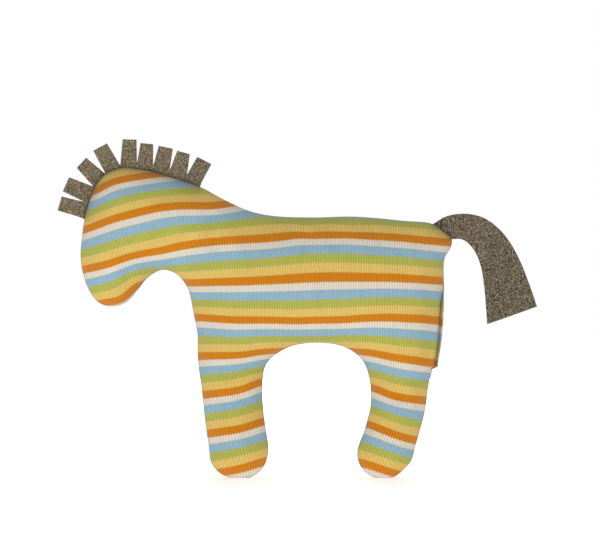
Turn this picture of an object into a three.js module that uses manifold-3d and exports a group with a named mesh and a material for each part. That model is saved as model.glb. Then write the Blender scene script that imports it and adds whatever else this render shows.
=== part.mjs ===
// A fabric horse rattle: two knitted side panels sewn edge to edge and stuffed, a felt fringe mane and a felt
// tail caught in the seam, and a plastic rattle ball with loose pellets between the belly wads.
// Millimetres, +Z up. The horse faces -X, its two panels face -Y and +Y, and it stands on z = 0.
import * as THREE from "three";
import { mergeVertices } from "three/addons/utils/BufferGeometryUtils.js";
import Module from "manifold-3d";

const wasm = await Module();
wasm.setup();

// Heights above the ground
const pollHeight = 142.4;
const backHeight = 119.6;
const bellyHeight = 62;
const muzzleHeight = 78.7; // underside of the muzzle
const throatHeight = 95.5; // top of the hollow under the jaw

// Places along the length
const foreheadX = -98.6;
const chestX = -48.3;
const rumpX = 67.7;
const archX = 8.8;
const foreSoleX = -27.2;
const hindSoleX = 40.2;

// Round stretches of the profile
const archHalfWidth = 24.6;
const archRise = 22;
const soleHalfWidth = 13.8;
const soleRise = 13.4; // from the ground to the widest part of a foot
const soleFlat = 0.5; // how much of each round sole the ground flattens
const foreSoleLean = -4; // degrees
const hindSoleLean = 3;
const archSquareness = 2.4; // 2 is a true ellipse, more is squarer
const soleSquareness = 2.2;

// Stuffing and cover
const fullness = 24; // half thickness that a very wide panel would swell to
const coverThickness = 0.9;
const gap = 0.3; // clearance between neighbouring pieces
const threadThickness = 0.4;
const threadWidth = 0.6;
const threadInset = 0.15; // from the profile to the thread's outer edge

// Felt
const feltThickness = 2.5;
const seamAllowance = 5; // felt caught inside the seam
const tabPitch = 7.55;
const slitWidth = 0.65; // between neighbouring tabs at their roots
const tabTipWidths = [6.7, 7.1, 6.4, 7.1, 6.4, 5.8, 6.6, 6, 7.3]; // scissor cut by eye, forelock first
const tabLengths = [12.9, 12.9, 11.6, 12.2, 13.1, 12.3, 12.5, 12.7, 12.2]; // from the seam to the tip
const slitHeights = [3.4, 1.6, 0.4, 0.4, 1.6, 3, 2.9, 3.2, 3.4]; // uncut felt under each tab
const tabLeans = [-1, -4, -4, 6, 5, 3, 5, 2, -8]; // degrees from square to the seam
const forelockInset = 1.6; // the first tab's root, back from the foremost line of the forehead
const forelockShare = 0.692; // and its height on the face, from the muzzle to the poll
const tailBend = 3.4; // from the end of the tail's sewn root to its bending line

// Rattle ball
const ballX = 12;
const ballHeight = 91;
const ballRadius = 13;
const ballWall = 1.8;
const lipThickness = 0.7; // half-lap joint between the two shells
const lipDepth = 1.4;
const pelletLanes = 5; // side by side inside the ball, one pellet in each
const laneRoom = 1.2; // from the outermost lanes to the ball's inner wall
const pelletClearance = 0.4; // between pellets in neighbouring lanes

// Cuts between the wads of stuffing, each from a point above to a point below
const headCut = [[-74, 145], [-62, 92]];
const neckCut = [[-15, 124], [-49, 76]];
const shoulderCut = [[-8, 124], [-8, 50]];
const haunchCut = [[32, 124], [32, 50]];
const legCutHeight = 50;

// Fineness of the meshes
const rimSegments = 112;
const rimCrowding = 8; // more puts more of the rim's points on its bends
const splineSteps = 8;
const rings = [0.6, 2.6, 7]; // distances in from the rim
const latticeStep = 10;
const solverSweeps = 500;
const ballSegments = 28;
const pelletSegments = 10;
const rootSegments = 10;
const slotDirections = 8; // ways that a felt outline is shifted by the gap to make its slot

const FAR = 400; // longer than the whole toy
const ROUNDING = 1e-6;
const UP = new THREE.Vector2(0, 1);

// Looks
const knitLook = { color: 0xb9c07a, roughness: 0.95, metalness: 0 };
const feltLook = { color: 0x6f655b, roughness: 1, metalness: 0 };
const fillingLook = { color: 0xf1efe8, roughness: 1, metalness: 0 };
const threadLook = { color: 0xe9e2d2, roughness: 0.9, metalness: 0 };
const shellLook = { color: 0xe8ecef, roughness: 0.4, metalness: 0 };
const pelletLook = { color: 0xd98a2b, roughness: 0.35, metalness: 0 };

// The profile

function squared(value, squareness) {
  return Math.sign(value) * Math.abs(value) ** (2 / squareness);
}

function turnedBy(vector, degrees) {
  return vector.clone().rotateAround(new THREE.Vector2(), THREE.MathUtils.degToRad(degrees));
}

// Six spans of the lower half of a squarish ellipse, right to left, leaned about its centre.
function sole(x, lean) {
  const points = [];
  for (let k = 6; k >= 0; k--) {
    const angle = (Math.PI * k) / 6;
    const along = -soleHalfWidth * squared(Math.cos(angle), soleSquareness);
    const down = -(soleRise + soleFlat) * squared(Math.sin(angle), soleSquareness);
    const leaned = turnedBy(new THREE.Vector2(along, down), lean);
    points.push([x + leaned.x, soleRise + leaned.y]);
  }
  return points;
}

// The underside between the legs, right to left.
function arch() {
  const points = [];
  for (let k = 0; k <= 6; k++) {
    const angle = (Math.PI * k) / 6;
    const along = archHalfWidth * squared(Math.cos(angle), archSquareness);
    const up = archRise * squared(Math.sin(angle), archSquareness);
    points.push([archX + along, bellyHeight - archRise + up]);
  }
  return points;
}

// Heights between two named ones, by share of the way up.
const onCrest = (share) => THREE.MathUtils.lerp(backHeight, pollHeight, share);
const onRump = (share) => THREE.MathUtils.lerp(bellyHeight, backHeight, share);
const onLeg = (share) => THREE.MathUtils.lerp(soleRise, bellyHeight, share);
const onChest = (share) => THREE.MathUtils.lerp(bellyHeight, throatHeight, share);
const onFace = (share) => THREE.MathUtils.lerp(muzzleHeight, pollHeight, share);

// A point of the jaw, by its shares of the way back to the chest and up to the throat.
function onJaw(back, up) {
  const x = THREE.MathUtils.lerp(foreheadX + 20, chestX, back);
  return [x, THREE.MathUtils.lerp(muzzleHeight, throatHeight, up)];
}

// The seam line seen from the side, clockwise from the poll.
function profilePoints() {
  const hindOut = hindSoleX + soleHalfWidth;
  const hindIn = hindSoleX - soleHalfWidth;
  const foreOut = foreSoleX - soleHalfWidth;
  const foreIn = foreSoleX + soleHalfWidth;
  const archLeft = archX - archHalfWidth;
  const archRight = archX + archHalfWidth;
  return [
    // crest
    [foreheadX + 17.6, pollHeight], [foreheadX + 25.3, onCrest(0.969)], [foreheadX + 32.6, onCrest(0.912)],
    [foreheadX + 40.6, onCrest(0.803)], [chestX + 3.3, onCrest(0.614)], [chestX + 14.7, onCrest(0.351)],
    [chestX + 25.8, onCrest(0.132)],
    // back
    [archX - 20.3, backHeight + 0.7], [archX - 1.8, backHeight], [archX + 16.5, backHeight + 0.4],
    [rumpX - 22.7, backHeight - 1], [rumpX - 9.7, backHeight - 1.8],
    // tail root and rump
    [rumpX - 5.1, backHeight - 3.2], [rumpX + 3.2, backHeight - 10], [rumpX + 2.9, backHeight - 13.8],
    [rumpX + 0.5, onRump(0.682)], [rumpX, onRump(0.486)], [rumpX - 0.5, onRump(0.278)],
    [rumpX - 1.8, bellyHeight - 1], [rumpX - 3.8, onLeg(0.784)],
    // hind leg
    [hindOut + 6.8, onLeg(0.609)], [hindOut + 4.1, onLeg(0.321)], ...sole(hindSoleX, hindSoleLean),
    [hindIn + 2.6, onLeg(0.208)],
    // arch
    [archRight - 0.8, onLeg(0.383)], ...arch(), [archLeft + 0.4, onLeg(0.372)],
    // foreleg
    [foreIn - 0.9, onLeg(0.177)], ...sole(foreSoleX, foreSoleLean), [foreOut - 1.5, onLeg(0.239)],
    [foreOut - 3, onLeg(0.506)], [chestX + 2, onLeg(0.897)], [chestX + 1.3, onChest(0.179)],
    // chest and throat
    [chestX, onChest(0.448)], [chestX - 2.3, onChest(0.746)], onJaw(0.746, 0.893), onJaw(0.535, 1),
    onJaw(0.33, 0.815), onJaw(0.165, 0.47), onJaw(0, 0.131),
    // muzzle and forehead
    [foreheadX + 13.5, muzzleHeight], [foreheadX + 7, muzzleHeight + 1.8], [foreheadX + 2.5, muzzleHeight + 7.7],
    [foreheadX - 0.3, onFace(0.245)], [foreheadX - 1.3, onFace(0.366)], [foreheadX - 0.6, onFace(0.507)],
    [foreheadX + 0.4, onFace(0.623)], [foreheadX + 3.1, onFace(0.774)], [foreheadX + 6, onFace(0.878)],
    [foreheadX + 10.6, onFace(0.959)],
  ];
}

// A smooth run through [x, z] points as 2-D vectors.
function smooth(points, closed, steps) {
  const knots = points.map(([x, z]) => new THREE.Vector3(x, z, 0));
  const curve = new THREE.CatmullRomCurve3(knots, closed, "centripetal");
  const spans = (closed ? points.length : points.length - 1) * steps;
  const run = curve.getPoints(spans).map((p) => new THREE.Vector2(p.x, p.y));
  return closed ? run.slice(0, -1) : run;
}

// The profile as evenly weighted rim points, closer together where it bends.
function rimOf(dense) {
  const count = dense.length;
  const weights = dense.map((p, i) => {
    const before = p.clone().sub(dense[(i + count - 1) % count]);
    const after = dense[(i + 1) % count].clone().sub(p);
    const turn = Math.abs(Math.atan2(before.cross(after), before.dot(after)));
    return after.length() + rimCrowding * turn;
  });
  const share = weights.reduce((sum, w) => sum + w) / rimSegments;
  const rim = [];
  let run = 0;
  dense.forEach((p, i) => {
    const next = dense[(i + 1) % count];
    while (rim.length < rimSegments && rim.length * share < run + weights[i]) {
      rim.push(p.clone().lerp(next, (rim.length * share - run) / weights[i]));
    }
    run += weights[i];
  });
  return rim;
}

// Outward direction at a rim point.
function outwardAt(line, index) {
  const count = line.length;
  const along = line[(index + 1) % count].clone().sub(line[(index + count - 1) % count]).normalize();
  return new THREE.Vector2(-along.y, along.x);
}

function distanceTo(line, point) {
  let nearest = Infinity;
  line.forEach((a, i) => {
    const b = line[(i + 1) % line.length];
    const side = b.clone().sub(a);
    const along = THREE.MathUtils.clamp(point.clone().sub(a).dot(side) / side.lengthSq(), 0, 1);
    nearest = Math.min(nearest, point.distanceTo(a.clone().addScaledVector(side, along)));
  });
  return nearest;
}

function isInside(line, point) {
  let inside = false;
  line.forEach((a, i) => {
    const b = line[(i + 1) % line.length];
    if (a.y > point.y === b.y > point.y) return;
    if (point.x < a.x + ((b.x - a.x) * (point.y - a.y)) / (b.y - a.y)) inside = !inside;
  });
  return inside;
}

// The stuffed form

// Points of the panel inside the rim: offset rings, then an even lattice.
function panelPoints(rim) {
  const points = [...rim];
  const isFree = (p, spacing) => points.every((q) => q.distanceTo(p) > spacing);
  rings.forEach((inset, ring) => {
    const reach = ring === 0 ? inset : rings[ring] - rings[ring - 1];
    rim.forEach((a, i) => {
      const b = rim[(i + 1) % rim.length];
      const isBetween = ring % 2 === 0;
      const start = isBetween ? a.clone().lerp(b, 0.5) : a.clone();
      const outward = isBetween ? new THREE.Vector2(a.y - b.y, b.x - a.x).normalize() : outwardAt(rim, i);
      const p = start.addScaledVector(outward, -inset);
      if (!isInside(rim, p) || distanceTo(rim, p) < inset * 0.93) return;
      if (isFree(p, Math.min(reach * 0.75, 2.6))) points.push(p);
    });
  });
  const clear = rings.at(-1) + latticeStep * 0.4;
  const rowStep = latticeStep * Math.sin(Math.PI / 3);
  for (let row = 0; row * rowStep < FAR; row++) {
    for (let column = 0; column * latticeStep < FAR; column++) {
      const x = (column + (row % 2) / 2) * latticeStep - FAR / 2;
      const p = new THREE.Vector2(x, row * rowStep);
      if (isInside(rim, p) && distanceTo(rim, p) > clear) points.push(p);
    }
  }
  return points;
}

// Triangles of the panel that keep every edge of its rim: the rim's own, then one inner point at a time.
// An edge that would join two far points of the rim gets a point of its own, so that no fold closes the form.
function triangulate(points) {
  const facing = new Map(); // the corner that each directed edge faces
  const edge = (a, b) => a + "," + b;
  const add = (a, b, c) => facing.set(edge(a, b), c).set(edge(b, c), a).set(edge(c, a), b);
  const drop = (a, b, c) => [edge(a, b), edge(b, c), edge(c, a)].forEach((key) => facing.delete(key));
  const corners = () => [...facing].map(([key, c]) => [...key.split(",").map(Number), c]);

  const settle = (a, b) => {
    const c = facing.get(edge(a, b));
    const d = facing.get(edge(b, a));
    if (c === undefined || d === undefined || !isInRound(points[a], points[b], points[c], points[d])) return;
    drop(a, b, c);
    drop(b, a, d);
    add(a, d, c);
    add(d, b, c);
    for (const [from, to] of [[a, d], [d, b], [b, c], [c, a]]) settle(from, to);
  };

  const surround = (i, outer) => {
    for (const [a, b] of outer) add(a, b, i);
    for (const [a, b] of outer) settle(a, b);
  };

  for (const triangle of THREE.ShapeUtils.triangulateShape(points.slice(0, rimSegments), [])) {
    const [a, b, c] = triangle;
    if (leftOf(points[a], points[b], points[c]) > 0) add(a, b, c);
    else add(a, c, b);
  }
  for (const [a, b] of corners()) settle(a, b);

  for (let i = rimSegments; i < points.length; i++) {
    const [a, b, c] = corners().find((triangle) => {
      const [p, q, r] = triangle.map((k) => points[k]);
      return Math.min(leftOf(p, q, points[i]), leftOf(q, r, points[i]), leftOf(r, p, points[i])) >= 0;
    });
    drop(a, b, c);
    surround(i, [[a, b], [b, c], [c, a]]);
  }

  const isFold = ([a, b]) => Math.max(a, b) < rimSegments && facing.has(edge(b, a));
  for (let fold = corners().find(isFold); fold; fold = corners().find(isFold)) {
    const [a, b, c] = fold;
    const d = facing.get(edge(b, a));
    points.push(points[a].clone().lerp(points[b], 0.5));
    drop(a, b, c);
    drop(b, a, d);
    surround(points.length - 1, [[a, d], [d, b], [b, c], [c, a]]);
  }
  return corners().filter(([a, b, c]) => a < b && a < c);
}

// Twice the area of a triangle, above zero where its corners run counter-clockwise.
function leftOf(a, b, c) {
  return b.clone().sub(a).cross(c.clone().sub(a));
}

// Whether d lies in the round through a, b and c, which run counter-clockwise.
function isInRound(a, b, c, d) {
  const [p, q, r] = [a, b, c].map((corner) => corner.clone().sub(d));
  const sum = p.lengthSq() * q.cross(r) + q.lengthSq() * r.cross(p) + r.lengthSq() * p.cross(q);
  return sum > leftOf(a, b, c) * ROUNDING;
}

// Half thicknesses of the stuffed form: a pressed membrane held at the rim, solved on the panel's triangles.
function swellings(points, triangles) {
  const links = points.map(() => new Map());
  const areas = points.map(() => 0);
  for (const corners of triangles) {
    for (let k = 0; k < 3; k++) {
      const [i, j, far] = [corners[k], corners[(k + 1) % 3], corners[(k + 2) % 3]];
      const toI = points[i].clone().sub(points[far]);
      const toJ = points[j].clone().sub(points[far]);
      const cross = Math.abs(toI.cross(toJ));
      const weight = toI.dot(toJ) / cross / 2;
      links[i].set(j, (links[i].get(j) ?? 0) + weight);
      links[j].set(i, (links[j].get(i) ?? 0) + weight);
      areas[far] += cross / 6;
    }
  }
  const squares = points.map(() => 0);
  for (let sweep = 0; sweep < solverSweeps; sweep++) {
    for (let i = rimSegments; i < points.length; i++) {
      let pull = 2 * areas[i];
      let hold = (2 * areas[i]) / fullness ** 2;
      for (const [j, weight] of links[i]) {
        pull += weight * squares[j];
        hold += weight;
      }
      squares[i] = pull / hold;
    }
  }
  return squares.map(Math.sqrt);
}

// The panel's two skins as one closed geometry, its vertices moved in by an inset.
function skins(points, triangles, heights, inset) {
  const places = [];
  points.forEach((p, i) => places.push(p.x, -heights[i], p.y));
  points.forEach((p, i) => places.push(p.x, heights[i], p.y));
  const other = (i) => (i < rimSegments ? i : i + points.length);
  const faces = [];
  for (const [a, b, c] of triangles) {
    const turned = points[b].clone().sub(points[a]).cross(points[c].clone().sub(points[a])) < 0;
    const [i, j, k] = turned ? [a, c, b] : [a, b, c];
    faces.push(i, j, k, other(i), other(k), other(j));
  }
  const geometry = new THREE.BufferGeometry();
  geometry.setAttribute("position", new THREE.Float32BufferAttribute(places, 3));
  geometry.setIndex(faces);
  geometry.computeVertexNormals();
  const position = geometry.getAttribute("position");
  const normal = geometry.getAttribute("normal");
  for (let i = 0; i < position.count; i++) {
    const place = new THREE.Vector3().fromBufferAttribute(position, i);
    const outward = new THREE.Vector3().fromBufferAttribute(normal, i);
    place.addScaledVector(outward, -inset);
    position.setXYZ(i, place.x, place.y, place.z);
  }
  return geometry;
}

// Solids

function solid(geometry) {
  const bare = new THREE.BufferGeometry();
  bare.setAttribute("position", geometry.getAttribute("position"));
  if (geometry.getIndex()) bare.setIndex(geometry.getIndex());
  const merged = mergeVertices(bare, 1e-4);
  const corners = merged.getIndex().array;
  const kept = [];
  for (let i = 0; i < corners.length; i += 3) {
    const [a, b, c] = [corners[i], corners[i + 1], corners[i + 2]];
    if (a !== b && b !== c && c !== a) kept.push(a, b, c);
  }
  const vertProperties = merged.getAttribute("position").array;
  return new wasm.Manifold(new wasm.Mesh({ numProp: 3, vertProperties, triVerts: new Uint32Array(kept) }));
}

function box(low, high) {
  const size = high.map((value, axis) => value - low[axis]);
  const geometry = new THREE.BoxGeometry(...size);
  geometry.translate(...high.map((value, axis) => (value + low[axis]) / 2));
  return solid(geometry);
}

// Felt or slot cut from side-view outlines that touch or overlap, centred on the seam plane.
function plates(outlines, thickness) {
  return outlines.map((outline) => plate(outline, thickness)).reduce((whole, piece) => whole.add(piece));
}

function plate(outline, thickness) {
  const shape = new THREE.Shape(outline);
  const geometry = new THREE.ExtrudeGeometry(shape, { depth: thickness, bevelEnabled: false });
  geometry.rotateX(Math.PI / 2);
  geometry.translate(0, thickness / 2, 0);
  return solid(geometry);
}

// Everything at least half a gap from a cut, on its tail side or its nose side.
function beside(cut, towardTail) {
  const [[topX, topZ], [lowX, lowZ]] = cut;
  const angle = Math.atan2(lowX - topX, topZ - lowZ) + (towardTail ? 0 : Math.PI);
  const geometry = new THREE.BoxGeometry(FAR, FAR, FAR);
  geometry.translate(FAR / 2 + gap / 2, 0, 0);
  geometry.rotateY(-angle);
  geometry.translate(topX, 0, topZ);
  return solid(geometry);
}

// A rod along a side-view line: the rounded root that a piece of felt bends about.
function rod(centre, along, length, radius) {
  const geometry = new THREE.CylinderGeometry(radius, radius, length, rootSegments * 2);
  geometry.rotateX(Math.PI / 2);
  geometry.rotateY(Math.PI / 2 - Math.atan2(along.y, along.x));
  geometry.translate(centre.x, 0, centre.y);
  return solid(geometry);
}

// A felt flap with a rounded root, from its bending line to its far outline.
function flap(centre, along, width, outline) {
  return plate(outline, feltThickness).add(rod(centre, along, width, feltThickness / 2));
}

const denseProfile = smooth(profilePoints(), true, splineSteps);
const rim = rimOf(denseProfile);
const panel = panelPoints(rim);
const panelFaces = triangulate(panel);
const heights = swellings(panel, panelFaces);

// The stuffed form moved in by an inset, cut flat where it stands.
function stuffed(inset) {
  const above = box([-FAR, -FAR, inset], [FAR, FAR, FAR]);
  return solid(skins(panel, panelFaces, heights, inset)).intersect(above);
}

// A closed ring in the seam, between two insets of the profile, kept off the flat soles by the same amounts.
function seamRing(outerInset, innerInset, thickness) {
  const sides = [[outerInset, -1], [outerInset, 1], [innerInset, 1], [innerInset, -1]];
  const places = [];
  const faces = [];
  rim.forEach((point, i) => {
    const here = i * sides.length;
    const ahead = ((i + 1) % rim.length) * sides.length;
    sides.forEach(([inset, side], k) => {
      const p = point.clone().addScaledVector(outwardAt(rim, i), -inset);
      places.push(p.x, (side * thickness) / 2, Math.max(p.y, inset));
      const next = (k + 1) % sides.length;
      faces.push(here + k, ahead + k, ahead + next, here + k, ahead + next, here + next);
    });
  });
  const geometry = new THREE.BufferGeometry();
  geometry.setAttribute("position", new THREE.Float32BufferAttribute(places, 3));
  geometry.setIndex(faces);
  return solid(geometry);
}

// The mane

// Arc lengths along the dense profile.
const runs = [0];
denseProfile.forEach((p, i) => {
  const next = denseProfile[(i + 1) % denseProfile.length];
  runs.push(runs[i] + p.distanceTo(next));
});

function profileAt(run) {
  const total = runs.at(-1);
  const wanted = THREE.MathUtils.euclideanModulo(run, total);
  const i = Math.max(runs.findIndex((r) => r > wanted) - 1, 0);
  const next = (i + 1) % denseProfile.length;
  const share = (wanted - runs[i]) / (runs[i + 1] - runs[i]);
  const place = denseProfile[i].clone().lerp(denseProfile[next], share);
  const outward = outwardAt(denseProfile, i).lerp(outwardAt(denseProfile, next), share).normalize();
  return { place, outward };
}

function runNear(wanted) {
  let nearest = 0;
  denseProfile.forEach((p, i) => {
    if (p.distanceTo(wanted) < denseProfile[nearest].distanceTo(wanted)) nearest = i;
  });
  return runs[nearest];
}

const maneStart = runNear(new THREE.Vector2(foreheadX + forelockInset, onFace(forelockShare)));
const tabRootWidth = tabPitch - slitWidth;
const rootClearance = gap + feltThickness / 2; // from a felt edge to the bending line of the flap beyond it

// Where each tab of the mane bends, and which way it points.
const tabs = tabLengths.map((length, i) => {
  const { place, outward } = profileAt(maneStart + i * tabPitch);
  const out = turnedBy(outward, tabLeans[i]);
  const along = new THREE.Vector2(out.y, -out.x);
  const root = place.clone().addScaledVector(out, slitHeights[i] + rootClearance);
  const tip = place.clone().addScaledVector(out, length);
  return { out, along, root, tip, tipWidth: tabTipWidths[i] };
});

function maneTab({ along, root, tip, tipWidth }) {
  const outline = [
    root.clone().addScaledVector(along, -tabRootWidth / 2),
    tip.clone().addScaledVector(along, -tipWidth / 2),
    tip.clone().addScaledVector(along, tipWidth / 2),
    root.clone().addScaledVector(along, tabRootWidth / 2),
  ];
  return flap(root, along, tabRootWidth, outline);
}

// The uncut strip below the tabs, from inside the seam to the tabs' roots: one outline under each tab.
function maneBandOutlines() {
  const edges = tabs.map(({ out, along, root }) => {
    const edge = root.clone().addScaledVector(out, -rootClearance);
    return [-1, 1].map((side) => edge.clone().addScaledVector(along, (side * tabRootWidth) / 2));
  });
  const seamAt = (i) => profileAt(maneStart + i * tabPitch);
  const innerAt = (i) => seamAt(i).place.addScaledVector(seamAt(i).outward, -seamAllowance);
  const slitEnd = (i) => (edges[i] && edges[i + 1] ? [edges[i][1].clone().lerp(edges[i + 1][0], 0.5)] : []);
  return edges.map((edge, i) => [
    seamAt(i - 0.5).place, ...slitEnd(i - 1), ...edge, ...slitEnd(i), seamAt(i + 0.5).place,
    innerAt(i + 0.5), innerAt(i), innerAt(i - 0.5),
  ]);
}

// The tail, drawn from the lower corner of its root on the rump

const tailCorner = new THREE.Vector2(rumpX + 3.2, backHeight - 10);
const tailSeamTop = [-8.8, 7];
const tailUpperEdge = [
  tailSeamTop, [-2.2, 10.7], [7.2, 11.7], [15.8, 9.2], [24.1, 2], [30.6, -8.6], [35.6, -21], [39, -30.4],
];
const tailLowerEdge = [[16.7, -38.3], [15.4, -21], [13.4, -10.3], [9.7, -3.3], [4.8, 0], [-0.2, 0]];
const tailBendX = tailCorner.x + tailBend;

function tailOutline() {
  const top = new THREE.Vector2(...tailSeamTop);
  const bottom = new THREE.Vector2(...tailLowerEdge.at(-1));
  const seam = bottom.clone().sub(top).normalize();
  const inward = new THREE.Vector2(seam.y, -seam.x).multiplyScalar(seamAllowance);
  const edges = [...smooth(tailUpperEdge, false, 3), ...smooth(tailLowerEdge, false, 3)];
  return [...edges, bottom.add(inward), top.add(inward)].map((p) => p.add(tailCorner));
}

function tailPieces() {
  const whole = plate(tailOutline(), feltThickness);
  const roundRoot = rod(new THREE.Vector2(tailBendX, tailCorner.y), UP, FAR, feltThickness / 2);
  const hanging = whole.intersect(box([tailBendX, -FAR, -FAR], [FAR, FAR, FAR]));
  const sewn = whole.intersect(box([-FAR, -FAR, -FAR], [tailBendX - rootClearance, FAR, FAR]));
  return { sewn, hanging: hanging.add(whole.intersect(roundRoot)) };
}

// Room for a piece of felt inside covers and stuffing.
function slotAround(outlines) {
  const thickness = feltThickness + gap * 2;
  let slot = plates(outlines, thickness);
  for (let k = 0; k < slotDirections; k++) {
    const angle = (Math.PI * 2 * k) / slotDirections;
    const shift = new THREE.Vector2(Math.cos(angle), Math.sin(angle)).multiplyScalar(gap);
    slot = slot.add(plates(outlines.map((outline) => outline.map((p) => p.clone().add(shift))), thickness));
  }
  return slot;
}

// The rattle ball

function arc(radius, fromHeight, toHeight) {
  const steps = ballSegments / 4;
  const from = Math.asin(fromHeight / radius);
  const to = Math.asin(toHeight / radius);
  const points = [];
  for (let k = 0; k <= steps; k++) {
    const angle = from + ((to - from) * k) / steps;
    points.push(new THREE.Vector2(Math.max(radius * Math.cos(angle), 0), radius * Math.sin(angle)));
  }
  return points;
}

function turned(profile) {
  const geometry = new THREE.LatheGeometry(profile, ballSegments);
  geometry.translate(ballX, 0, ballHeight);
  return solid(geometry);
}

const innerRadius = ballRadius - ballWall;
const lipRadius = innerRadius + lipThickness;
const laneWidth = (2 * (innerRadius - laneRoom)) / pelletLanes;
const pelletRadius = (laneWidth - pelletClearance) / 2;

function ballCup() {
  return turned([
    ...arc(ballRadius, -ballRadius, -gap / 2),
    new THREE.Vector2(lipRadius, -gap / 2),
    new THREE.Vector2(lipRadius, lipDepth),
    ...arc(innerRadius, lipDepth, -innerRadius),
  ]);
}

function ballLid() {
  return turned([
    ...arc(innerRadius, innerRadius, lipDepth + gap),
    new THREE.Vector2(lipRadius + gap, lipDepth + gap),
    new THREE.Vector2(lipRadius + gap, gap / 2),
    ...arc(ballRadius, gap / 2, ballRadius),
  ]);
}

// A pellet at rest at the bottom of its lane.
function pellet(lane) {
  const across = (lane - (pelletLanes - 1) / 2) * laneWidth;
  const drop = Math.sqrt((innerRadius - pelletRadius - gap) ** 2 - across ** 2);
  const geometry = new THREE.SphereGeometry(pelletRadius, pelletSegments, pelletSegments / 2);
  geometry.translate(ballX, across, ballHeight - drop);
  return solid(geometry);
}

// The pieces

const pieces = [];
const halfParting = threadThickness / 2 + gap;
const frontSide = box([-FAR, -FAR, -FAR], [FAR, -halfParting, FAR]);
const backSide = box([-FAR, halfParting, -FAR], [FAR, FAR, FAR]);
const slots = slotAround(maneBandOutlines()).add(slotAround([tailOutline()]));
const cover = stuffed(0).subtract(stuffed(coverThickness)).subtract(slots);
pieces.push(["front_cover", cover.intersect(frontSide), knitLook]);
pieces.push(["back_cover", cover.intersect(backSide), knitLook]);

const threadInner = threadInset + threadWidth;
const threadTunnel = seamRing(threadInset - gap, threadInner + gap, threadThickness + gap * 2);
pieces.push(["seam_thread", seamRing(threadInset, threadInner, threadThickness), threadLook]);

pieces.push(["mane_band", plates(maneBandOutlines(), feltThickness).subtract(threadTunnel), feltLook]);
tabs.forEach((tab, i) => pieces.push(["mane_tab_" + (i + 1), maneTab(tab), feltLook]));

const tail = tailPieces();
pieces.push(["tail_root", tail.sewn.subtract(threadTunnel), feltLook]);
pieces.push(["tail_flap", tail.hanging, feltLook]);

const ballRoom = new THREE.SphereGeometry(ballRadius + gap, ballSegments, ballSegments / 2);
ballRoom.translate(ballX, 0, ballHeight);
const stuffing = stuffed(coverThickness + gap).subtract(slots).subtract(solid(ballRoom));
const aboveLegs = box([-FAR, -FAR, legCutHeight + gap / 2], [FAR, FAR, FAR]);
const belowLegs = box([-FAR, -FAR, -FAR], [FAR, FAR, legCutHeight - gap / 2]);
const archCut = [[archX, legCutHeight], [archX, 0]];
const frontHalf = box([-FAR, -FAR, -FAR], [FAR, -gap / 2, FAR]);
const backHalf = box([-FAR, gap / 2, -FAR], [FAR, FAR, FAR]);
const belly = [aboveLegs, beside(shoulderCut, true), beside(haunchCut, false)];
const wads = {
  head: [beside(headCut, false)],
  neck: [beside(headCut, true), beside(neckCut, false)],
  shoulder: [aboveLegs, beside(neckCut, true), beside(shoulderCut, false)],
  belly_front: [...belly, frontHalf],
  belly_back: [...belly, backHalf],
  haunch: [aboveLegs, beside(haunchCut, true)],
  foreleg: [belowLegs, beside(archCut, false)],
  hind_leg: [belowLegs, beside(archCut, true)],
};
for (const [name, bounds] of Object.entries(wads)) {
  const wad = bounds.reduce((shape, bound) => shape.intersect(bound), stuffing);
  pieces.push(["filling_" + name, wad, fillingLook]);
}

pieces.push(["rattle_cup", ballCup(), shellLook]);
pieces.push(["rattle_lid", ballLid(), shellLook]);
for (let lane = 0; lane < pelletLanes; lane++) {
  pieces.push(["pellet_" + (lane + 1), pellet(lane), pelletLook]);
}

const horse = new THREE.Group();
horse.name = "fabric_horse_rattle";
for (const [name, shape, look] of pieces) {
  const { vertProperties, triVerts } = shape.getMesh();
  const geometry = new THREE.BufferGeometry();
  geometry.setAttribute("position", new THREE.BufferAttribute(vertProperties, 3));
  geometry.setIndex(new THREE.BufferAttribute(triVerts, 1));
  geometry.computeVertexNormals();
  const mesh = new THREE.Mesh(geometry, new THREE.MeshStandardMaterial(look));
  mesh.name = name;
  horse.add(mesh);
}

// The origin is under the middle of the whole length.
const extent = new THREE.Box3().setFromObject(horse);
const middleX = (extent.min.x + extent.max.x) / 2;
for (const mesh of horse.children) mesh.geometry.translate(-middleX, 0, 0);

export default horse;
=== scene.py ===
import math

import bpy
import numpy as np
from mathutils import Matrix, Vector, geometry, noise


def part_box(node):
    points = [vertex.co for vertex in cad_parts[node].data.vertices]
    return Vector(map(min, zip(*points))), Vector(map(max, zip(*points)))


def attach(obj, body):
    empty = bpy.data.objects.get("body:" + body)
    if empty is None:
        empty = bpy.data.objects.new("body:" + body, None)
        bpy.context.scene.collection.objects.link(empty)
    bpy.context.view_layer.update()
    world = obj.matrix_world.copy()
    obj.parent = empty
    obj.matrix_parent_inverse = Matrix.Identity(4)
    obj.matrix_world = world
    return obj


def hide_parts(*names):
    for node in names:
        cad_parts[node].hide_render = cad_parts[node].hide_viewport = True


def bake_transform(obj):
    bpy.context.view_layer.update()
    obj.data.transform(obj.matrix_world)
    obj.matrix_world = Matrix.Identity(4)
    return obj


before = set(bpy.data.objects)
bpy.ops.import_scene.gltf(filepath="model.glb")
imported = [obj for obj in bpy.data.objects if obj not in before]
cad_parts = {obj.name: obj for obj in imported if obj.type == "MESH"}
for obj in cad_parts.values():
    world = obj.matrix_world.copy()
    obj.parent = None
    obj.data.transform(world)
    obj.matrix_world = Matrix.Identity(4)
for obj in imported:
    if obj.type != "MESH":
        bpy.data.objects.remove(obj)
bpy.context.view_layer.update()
MM = 0.001

# Sizes of the sewing pattern, as in the part's source

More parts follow.
